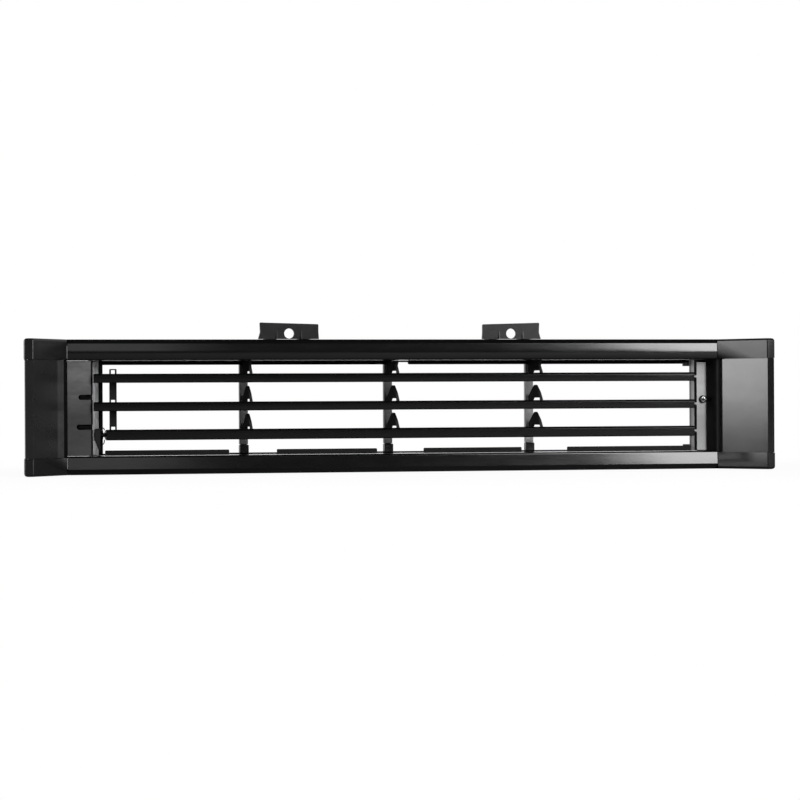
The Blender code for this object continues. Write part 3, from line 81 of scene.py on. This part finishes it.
class Maker:
    """Adds nodes to one material."""

    def __init__(self, name):
        self.material = bpy.data.materials.new(name)
        self.material.use_nodes = True
        self.tree = self.material.node_tree
        self.shader = self.tree.nodes["Principled BSDF"]
        self.surface = self.tree.nodes["Material Output"].inputs["Surface"]
        self.place = self.add("ShaderNodeTexCoord").outputs["Object"]

    def add(self, kind, **settings):
        node = self.tree.nodes.new(kind)
        for key, value in settings.items():
            setattr(node, key, value)
        return node

    def join(self, source, target):
        self.tree.links.new(source, target)

    def feed(self, socket, value):
        if isinstance(value, bpy.types.NodeSocket):
            self.join(value, socket)
        else:
            socket.default_value = value

    def maths(self, operation, first, second=0.0, clamp=False):
        node = self.add("ShaderNodeMath", operation=operation, use_clamp=clamp)
        self.feed(node.inputs[0], first)
        self.feed(node.inputs[1], second)
        return node.outputs[0]

    def scaled(self, factor):
        """Object coordinates multiplied by a factor for each axis."""
        node = self.add("ShaderNodeVectorMath", operation="MULTIPLY")
        self.join(self.place, node.inputs[0])
        node.inputs[1].default_value = factor
        return node.outputs[0]

    def axis(self, letter):
        """One object coordinate, in metres."""
        node = self.add("ShaderNodeSeparateXYZ")
        self.join(self.place, node.inputs[0])
        return node.outputs[letter]

    def noise(self, factor, scale=1.0, detail=3.0, roughness=0.5):
        node = self.add("ShaderNodeTexNoise")
        self.join(self.scaled(factor), node.inputs["Vector"])
        node.inputs["Scale"].default_value = scale
        node.inputs["Detail"].default_value = detail
        node.inputs["Roughness"].default_value = roughness
        return node.outputs["Fac"]

    def ramp(self, value, low, high, start, end):
        """Value mapped from start..end to low..high, held beyond them."""
        node = self.add("ShaderNodeMapRange")
        self.feed(node.inputs["Value"], value)
        node.inputs["From Min"].default_value = start
        node.inputs["From Max"].default_value = end
        node.inputs["To Min"].default_value = low
        node.inputs["To Max"].default_value = high
        return node.outputs["Result"]

    def blend(self, share, first, second):
        node = self.add("ShaderNodeMix", data_type="RGBA")
        self.feed(node.inputs["Factor"], share)
        self.feed(node.inputs[6], first)
        self.feed(node.inputs[7], second)
        return node.outputs[2]

    def bump(self, height, distance, strength=1.0, under=None):
        node = self.add("ShaderNodeBump")
        node.inputs["Strength"].default_value = strength
        node.inputs["Distance"].default_value = distance
        self.join(height, node.inputs["Height"])
        if under is not None:
            self.join(under, node.inputs["Normal"])
        return node.outputs["Normal"]

    def mix_surface(self, share, first, second):
        """Shows the second shader over the first by a share."""
        mix = self.add("ShaderNodeMixShader")
        self.join(share, mix.inputs[0])
        self.join(first, mix.inputs[1])
        self.join(second, mix.inputs[2])
        self.join(mix.outputs["Shader"], self.surface)

    def tint(self, share, colour):
        """Lays a second colour over the base colour by a share."""
        base = self.shader.inputs["Base Color"]
        self.join(self.blend(share, base.links[0].from_socket, rgba(colour)), base)


# Finishes

def moulded(name, colour, gloss, grain, spread, level=0.5, bow=0.0, streak=0.2, wave=0.25):
    """Moulded plastic: slight flow streaks, fine grain and uneven gloss.

    A bow turns the shading of the splayed faces a little towards the front.
    """
    maker = Maker(name)
    shader = maker.shader
    flow = maker.ramp(maker.noise((6.0, 40.0, 40.0), detail=4.0), 0.0, 1.0, 0.35, 0.65)
    streaks = maker.blend(flow, rgba(colour, 1.0 - streak), rgba(colour, 1.0 + streak))
    maker.join(streaks, shader.inputs["Base Color"])
    smear = maker.noise((25.0, 90.0, 90.0), detail=5.0, roughness=0.6)
    maker.join(maker.ramp(smear, gloss - spread, gloss + spread, 0.3, 0.7), shader.inputs["Roughness"])
    normal = maker.bump(maker.noise((9.0, 60.0, 60.0), detail=2.0), FLOW_WAVE, wave)
    if bow:
        normal = maker.bump(maker.maths("MULTIPLY", maker.axis("Y"), bow), 1.0, 1.0, normal)
    fine = maker.noise((1.0, 1.0, 1.0), scale=FINE_SCALE, detail=2.0)
    maker.join(maker.bump(fine, grain, 0.6, normal), shader.inputs["Normal"])
    shader.inputs["Specular IOR Level"].default_value = level
    return maker


def wing_plastic(name, colour, gloss, level=0.5, bow=WING_BOW):
    """Polished plastic of the splayed faces."""
    return moulded(name, colour, gloss, POLISHED_GRAIN, 0.012, level=level, bow=bow, streak=0.08, wave=0.06)


def matte_where(maker, mask, colour):
    """Replaces the finish by a dull one where the mask is 1."""
    dull = maker.add("ShaderNodeBsdfDiffuse")
    speck = maker.noise((60.0, 60.0, 60.0), detail=4.0)
    maker.join(maker.blend(speck, rgba(colour, 0.8), rgba(colour, 1.25)), dull.inputs["Color"])
    maker.mix_surface(mask, maker.shader.outputs["BSDF"], dull.outputs["BSDF"])


def steel(name, colour, gloss):
    """Plain steel with fine drawn scratches."""
    maker = Maker(name)
    shader = maker.shader
    shader.inputs["Metallic"].default_value = 1.0
    tone = maker.noise((300.0, 300.0, 300.0), detail=4.0)
    maker.join(maker.blend(tone, rgba(colour, 0.6), rgba(colour)), shader.inputs["Base Color"])
    scratch = maker.noise((150.0, 2200.0, 2200.0), detail=4.0, roughness=0.7)
    maker.join(maker.ramp(scratch, gloss - 0.08, gloss + 0.12, 0.3, 0.7), shader.inputs["Roughness"])
    maker.join(maker.bump(scratch, 0.00003, 0.5), shader.inputs["Normal"])
    return maker


def panel(name, shade, gloss, inner):
    """Side panel: glossy splayed face, dull inner wall."""
    maker = wing_plastic(name, grey(shade, 1.04), gloss)
    across = maker.maths("ABSOLUTE", maker.axis("X"))
    matte_where(maker, maker.ramp(across, 1.0, 0.0, *INNER_WALL_X), grey(inner, 1.02))
    return maker


def highlighted_panel(name, shade, gloss, inner):
    """Side panel with a painted highlight along the inner edge of its splayed face."""
    maker = panel(name, shade, gloss, inner)
    corner = maker.ramp(maker.axis("X"), 0.0, 1.0, *EDGE_HIGHLIGHT_X)
    highlight_patches = maker.noise((30.0, 30.0, 30.0), detail=4.0)
    # Painted highlight: a lighter patchy band along the inner edge of the splayed face.
    maker.tint(maker.maths("MULTIPLY", corner, highlight_patches), (0.060, 0.060, 0.061))
    return maker


def post(name, shade):
    """Mullion: post painted lighter as a stand-in for reflected light, black arms in front of it."""
    maker = moulded(name, grey(shade, 1.01), 0.42, SATIN_GRAIN, 0.06)
    matte_where(maker, maker.ramp(maker.axis("Y"), 1.0, 0.0, *POST_FRONT_Y), (0.030, 0.030, 0.0305))
    return maker


def cover_plate(name):
    """Satin plate with a painted sheen that thins out downwards, and painted shade on its right edge."""
    maker = moulded(name, (0.017, 0.017, 0.0175), 0.40, SATIN_GRAIN, 0.06)
    # Painted sheen: patches of lighter colour, stronger towards the top of the plate.
    sheen_patches = maker.noise((70.0, 70.0, 200.0), detail=5.0, roughness=0.6)
    sheen_strength = maker.ramp(maker.axis("Z"), 0.30, 1.6, *PAINTED_SHEEN_Z)
    maker.tint(maker.maths("MULTIPLY", sheen_patches, sheen_strength, clamp=True), (0.13, 0.13, 0.132))
    # Painted shade on the plate's right edge.
    matte_where(maker, maker.ramp(maker.axis("X"), 0.0, 1.0, *PLATE_EDGE_SHADE_X), grey(0.006))
    return maker


def bracket(name, shade, depths):
    """Grey moulded plastic with painted shade on its front edge that fades out between two depths."""
    maker = moulded(name, grey(shade, 1.01), 0.34, SATIN_GRAIN, 0.06)
    # Painted shade on the front edge.
    matte_where(maker, maker.ramp(maker.axis("Y"), 1.0, 0.0, *depths), (0.0045, 0.0045, 0.0046))
    return maker


def thin_bracket(name, shade, depths):
    """Bracket of thin light plastic that lets light through behind its front edge."""
    maker = bracket(name, shade, depths)
    through = maker.add("ShaderNodeBsdfTranslucent")
    cloud = maker.blend(maker.noise((50.0, 50.0, 50.0)), rgba((0.84, 0.84, 0.85)), rgba((0.92, 0.92, 0.93)))
    maker.join(cloud, through.inputs["Color"])
    share = maker.ramp(maker.axis("Y"), 0.0, 0.85, *depths)
    maker.mix_surface(share, maker.surface.links[0].from_socket, through.outputs["BSDF"])
    return maker


def cross_screw(name):
    """Dark steel with a black rim, and painted shade in the cross recess."""
    maker = steel(name, (0.34, 0.34, 0.35), 0.32)
    aside = maker.maths("SUBTRACT", maker.axis("X"), SCREW_X)
    upward = maker.maths("SUBTRACT", maker.axis("Z"), SCREW_Z)
    squares = [maker.maths("MULTIPLY", way, way) for way in (aside, upward)]
    radius = maker.maths("SQRT", maker.maths("ADD", *squares))
    nearest = maker.maths("MINIMUM", maker.maths("ABSOLUTE", aside), maker.maths("ABSOLUTE", upward))
    # Painted shade in the cross recess.
    recess = maker.maths("MULTIPLY", maker.ramp(nearest, 1.0, 0.0, *CROSS_HALF_WIDTH),
                         maker.ramp(radius, 1.0, 0.0, *CROSS_REACH))
    rim = maker.ramp(radius, 0.0, 1.0, *SCREW_RIM)
    matte_where(maker, maker.maths("MAXIMUM", rim, recess), grey(0.006))
    return maker


LEFT_CAP = wing_plastic("moulded_left_cap_black", (0.0060, 0.0060, 0.0062), 0.30)
# Painted reflection: the posts are lighter than their black arms.
POST = post("moulded_post_black", 0.12)

# Finish for each packed material
FINISH = {
    "gloss_black": moulded("moulded_gloss_black", (0.0028, 0.0028, 0.0030), 0.125, 0.000006, 0.025),
    "satin_black": moulded("moulded_satin_black", (0.0035, 0.0035, 0.0037), 0.34, SATIN_GRAIN, 0.06,
                           level=0.3),
    "blade_black": moulded("moulded_blade_black", (0.0022, 0.0022, 0.0023), 0.13, 0.00001, 0.02, level=0.35),
    "bracket_grey": bracket("moulded_bracket_grey", 0.29, RIGHT_BRACKET_SHADE_Y),
    "seal_black": moulded("rubber_seal_black", grey(0.0025), 0.62, 0.00005, 0.08, level=0.15),
    "pin_steel": steel("drawn_pin_steel", (0.22, 0.22, 0.225), 0.42),
    "screw_steel": steel("blackened_rivet_steel", (0.05, 0.05, 0.052), 0.40),
}

# Finish for single nodes, before the one of their packed material
OWN_FINISH = {
    "left_side_panel": highlighted_panel("moulded_left_panel_black", 0.0110, 0.28, 0.006),
    "right_side_panel": panel("moulded_right_panel_black", 0.0035, 0.125, 0.030),
    "upper_left_corner_cap": LEFT_CAP,
    "lower_left_corner_cap": LEFT_CAP,
    "upper_right_corner_cap": wing_plastic("moulded_upper_right_cap_black", (0.0035, 0.0035, 0.0036), 0.22,
                                           level=0.30, bow=0.095),
    "lower_right_corner_cap": wing_plastic("moulded_lower_right_cap_black", (0.0035, 0.0035, 0.0036), 0.20,
                                           bow=0.110),
    "left_cover_plate": cover_plate("moulded_plate_black"),
    "left_mullion": POST,
    "centre_mullion": POST,
    # Painted reflection: the right post is a much lighter copy of the same black post, where the key light
    # falls.
    "right_mullion": post("moulded_right_post_painted_light", 0.50),
    # Painted light: the left wall is a lighter copy of the bracket grey.
    "left_bearing_wall": thin_bracket("moulded_left_wall_grey", 0.60, LEFT_WALL_SHADE_Y),
    "bracket_screw": cross_screw("dark_screw_steel"),
}


# Edges of the solids

WELD_DISTANCE = 0.000004
FLAT_ANGLE = math.radians(0.6)
EDGE_WIDTH = 0.00022
EDGE_ANGLE = math.radians(38)


def dress(node):
    """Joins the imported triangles, breaks the sharp edges and smooths the shading."""
    weld = node.modifiers.new("Weld", "WELD")
    weld.merge_threshold = WELD_DISTANCE
    flat = node.modifiers.new("Flat faces", "DECIMATE")
    flat.decimate_type = "DISSOLVE"
    flat.angle_limit = FLAT_ANGLE
    edges = node.modifiers.new("Edges", "BEVEL")
    edges.width = EDGE_WIDTH
    edges.segments = 2
    edges.limit_method = "ANGLE"
    edges.angle_limit = EDGE_ANGLE
    edges.use_clamp_overlap = True
    smooth = node.modifiers.new("Normals", "WEIGHTED_NORMAL")
    smooth.keep_sharp = False
    smooth.weight = 60


for node_name, node in NODES.items():
    finish = OWN_FINISH.get(node_name) or FINISH[node.data.materials[0].name.split(".")[0]]
    node.material_slots[0].link = "OBJECT"
    node.material_slots[0].material = finish.material
    dress(node)


# Camera at the photograph's angle

AIM = Vector((0.0, FRONT_Y, 0.054))
AZIMUTH = math.radians(12.0)
DISTANCE = 2.185
ROLL = math.radians(-0.30)

lens = bpy.data.cameras.new("photo_camera")
lens.lens = 123.65
lens.sensor_width = 36.0
lens.clip_start = 0.1
lens.clip_end = 50.0
lens.shift_x = -0.0009
lens.shift_y = 0.0050
camera = bpy.data.objects.new("photo_camera", lens)
bpy.context.scene.collection.objects.link(camera)
away = Vector((-math.sin(AZIMUTH), -math.cos(AZIMUTH), 0.0))
camera.location = AIM + away * DISTANCE
camera.rotation_mode = "QUATERNION"
camera.rotation_quaternion = (-away).to_track_quat("-Z", "Y") @ Matrix.Rotation(ROLL, 4, "Z").to_quaternion()
bpy.context.scene.camera = camera


# Light, surroundings and floor

def soft_box(name, centre, aim, size, radiance, roll=0.0):
    """Soft box that faces a point, lit to a radiance and rolled by some degrees."""
    width, height = size
    data = bpy.data.lights.new(name, "AREA")
    data.shape = "RECTANGLE"
    data.size = width
    data.size_y = height
    data.energy = radiance * math.pi * width * height
    lamp = bpy.data.objects.new(name, data)
    bpy.context.scene.collection.objects.link(lamp)
    lamp.location = centre
    lamp.rotation_mode = "QUATERNION"
    turn = Matrix.Rotation(math.radians(roll), 4, "Z").to_quaternion()
    lamp.rotation_quaternion = (Vector(aim) - Vector(centre)).to_track_quat("-Z", "Y") @ turn
    lamp.visible_camera = False


def studio_world():
    """White for the camera. Other rays see white behind the object and dark in front and above."""
    world = bpy.data.worlds.new("studio")
    bpy.context.scene.world = world
    world.use_nodes = True
    nodes = world.node_tree.nodes
    links = world.node_tree.links
    back = nodes["Background"]
    axes = nodes.new("ShaderNodeSeparateXYZ")
    links.new(nodes.new("ShaderNodeTexCoord").outputs["Generated"], axes.inputs[0])

    def soft_step(letter, low, high, start, end):
        """Brightness that goes softly from low to high along one direction."""
        step = nodes.new("ShaderNodeMapRange")
        step.interpolation_type = "SMOOTHSTEP"
        step.inputs["From Min"].default_value = start
        step.inputs["From Max"].default_value = end
        step.inputs["To Min"].default_value = low
        step.inputs["To Max"].default_value = high
        links.new(axes.outputs[letter], step.inputs["Value"])
        return step.outputs["Result"]

    level = nodes.new("ShaderNodeMath")
    level.operation = "MULTIPLY"
    links.new(soft_step("Y", 0.07, 1.0, -0.05, 0.45), level.inputs[0])
    links.new(soft_step("Z", 1.0, 0.3, 0.25, 0.85), level.inputs[1])
    seen = nodes.new("ShaderNodeMix")
    seen.data_type = "FLOAT"
    links.new(nodes.new("ShaderNodeLightPath").outputs["Is Camera Ray"], seen.inputs[0])
    links.new(level.outputs[0], seen.inputs[2])
    seen.inputs[3].default_value = 1.0
    links.new(seen.outputs[0], back.inputs["Strength"])
    back.inputs["Color"].default_value = (1.0, 1.0, 1.0, 1.0)


def pale_floor(half=30.0, drop=0.0002):
    """Pale floor that shows almost white to the camera and keeps the object's shadow."""
    mesh = bpy.data.meshes.new("floor")
    corners = [(-half, -half, 0.0), (half, -half, 0.0), (half, half, 0.0), (-half, half, 0.0)]
    mesh.from_pydata(corners, [], [(0, 1, 2, 3)])
    floor = bpy.data.objects.new("floor", mesh)
    floor.location = (0.0, 0.0, -drop)
    bpy.context.scene.collection.objects.link(floor)

    maker = Maker("pale_floor")
    rays = maker.add("ShaderNodeLightPath")
    fleck = maker.noise((40.0, 40.0, 40.0), detail=4.0)
    seen = maker.blend(fleck, rgba(grey(0.88)), rgba(grey(0.92)))
    other = maker.blend(fleck, rgba(grey(0.19)), rgba(grey(0.23)))
    maker.join(maker.blend(rays.outputs["Is Camera Ray"], other, seen), maker.shader.inputs["Base Color"])
    maker.shader.inputs["Roughness"].default_value = 0.8

    # The camera sees a share of plain white that grows away from the object.
    reach = maker.add("ShaderNodeVectorMath", operation="LENGTH")
    maker.join(maker.scaled((2.2, 4.5, 0.0)), reach.inputs[0])
    white = maker.ramp(reach.outputs["Value"], 0.93, 1.0, 1.0, 2.0)
    camera_share = maker.maths("MULTIPLY", rays.outputs["Is Camera Ray"], white)
    # Glossy plastic mirrors white behind the object.
    behind = maker.ramp(maker.axis("Y"), 0.0, 1.0, 0.06, 0.35)
    mirror_share = maker.maths("MULTIPLY", rays.outputs["Is Glossy Ray"], behind)
    share = maker.maths("ADD", camera_share, mirror_share, clamp=True)
    glow = maker.add("ShaderNodeEmission")
    maker.mix_surface(share, maker.shader.outputs["BSDF"], glow.outputs["Emission"])
    mesh.materials.append(maker.material)


soft_box("key_soft_box", (1.270, -2.010, 1.03), (0.0, 0.0, 1.03), (1.1, 1.6), radiance=14.0, roll=10.0)
soft_box("left_soft_box", (-2.4, -0.34, 0.79), (0.28, -0.03, 0.79), (1.2, 1.5), radiance=9.5)
soft_box("left_low_card", (-0.9, -0.17, 0.029), (0.28, -0.03, 0.029), (0.5, 0.056), radiance=0.5)
soft_box("front_card", (0.02, -2.55, 1.03), (-0.20, 0.0, 1.03), (0.26, 1.5), radiance=1.1)
studio_world()
pale_floor()

bpy.context.scene.view_settings.view_transform = "Standard"
